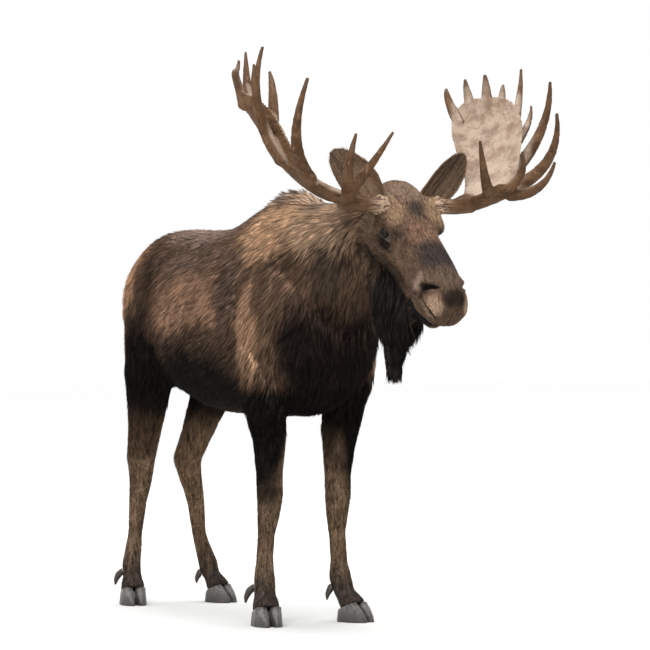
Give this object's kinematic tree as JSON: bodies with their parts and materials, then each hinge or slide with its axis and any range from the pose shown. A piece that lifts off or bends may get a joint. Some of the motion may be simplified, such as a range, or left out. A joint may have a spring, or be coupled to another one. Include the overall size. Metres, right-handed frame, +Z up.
{
  "type": "moose",
  "caption": "Life-size standing bull moose with broad palmed antlers and a hanging bell, head turned slightly to its left.",
  "frame": {"origin": "on the ground, below the middle of the animal's overall box", "axes": "+Z up, the moose faces -Y, its left side is +X"},
  "size_m": [1.5646, 2.7214, 2.5232],
  "materials": {
    "hide_brown": "coarse brown coat over hide, matt",
    "hide_face": "short close hair, slight sheen",
    "hide_dark": "short dark hair, slight sheen",
    "ear_fur": "short hair outside, long grey hair inside",
    "bell_hair": "long near-black hair",
    "antler_bone": "dry grooved bone, polished on the tines",
    "hoof_horn": "worn grey-black horn",
    "eye": "wet and glossy"
  },
  "bodies": {
    "root": {"antler_left_beam": "antler_bone", "antler_left_brow_palm": "antler_bone", "antler_left_palm": "antler_bone", "antler_right_beam": "antler_bone", "antler_right_brow_palm": "antler_bone", "antler_right_palm": "antler_bone", "bell": "bell_hair", "dewclaw_foreleg_left_inner": "hoof_horn", "dewclaw_foreleg_left_outer": "hoof_horn", "dewclaw_foreleg_right_inner": "hoof_horn", "dewclaw_foreleg_right_outer": "hoof_horn", "dewclaw_hindleg_left_inner": "hoof_horn", "dewclaw_hindleg_left_outer": "hoof_horn", "dewclaw_hindleg_right_inner": "hoof_horn", "dewclaw_hindleg_right_outer": "hoof_horn", "ear_left": "ear_fur", "ear_right": "ear_fur", "eye_left": "eye", "eye_right": "eye", "foreleg_left_cannon": "hide_dark", "foreleg_left_foot": "hide_dark", "foreleg_left_upper": "hide_dark", "foreleg_right_cannon": "hide_dark", "foreleg_right_foot": "hide_dark", "foreleg_right_upper": "hide_dark", "head": "hide_face", "hindleg_left_cannon": "hide_dark", "hindleg_left_foot": "hide_dark", "hindleg_left_upper": "hide_dark", "hindleg_right_cannon": "hide_dark", "hindleg_right_foot": "hide_dark", "hindleg_right_upper": "hide_dark", "hoof_foreleg_left_inner": "hoof_horn", "hoof_foreleg_left_outer": "hoof_horn", "hoof_foreleg_right_inner": "hoof_horn", "hoof_foreleg_right_outer": "hoof_horn", "hoof_hindleg_left_inner": "hoof_horn", "hoof_hindleg_left_outer": "hoof_horn", "hoof_hindleg_right_inner": "hoof_horn", "hoof_hindleg_right_outer": "hoof_horn", "neck": "hide_brown", "tail": "bell_hair", "trunk": "hide_brown"}
  },
  "joints": []
}
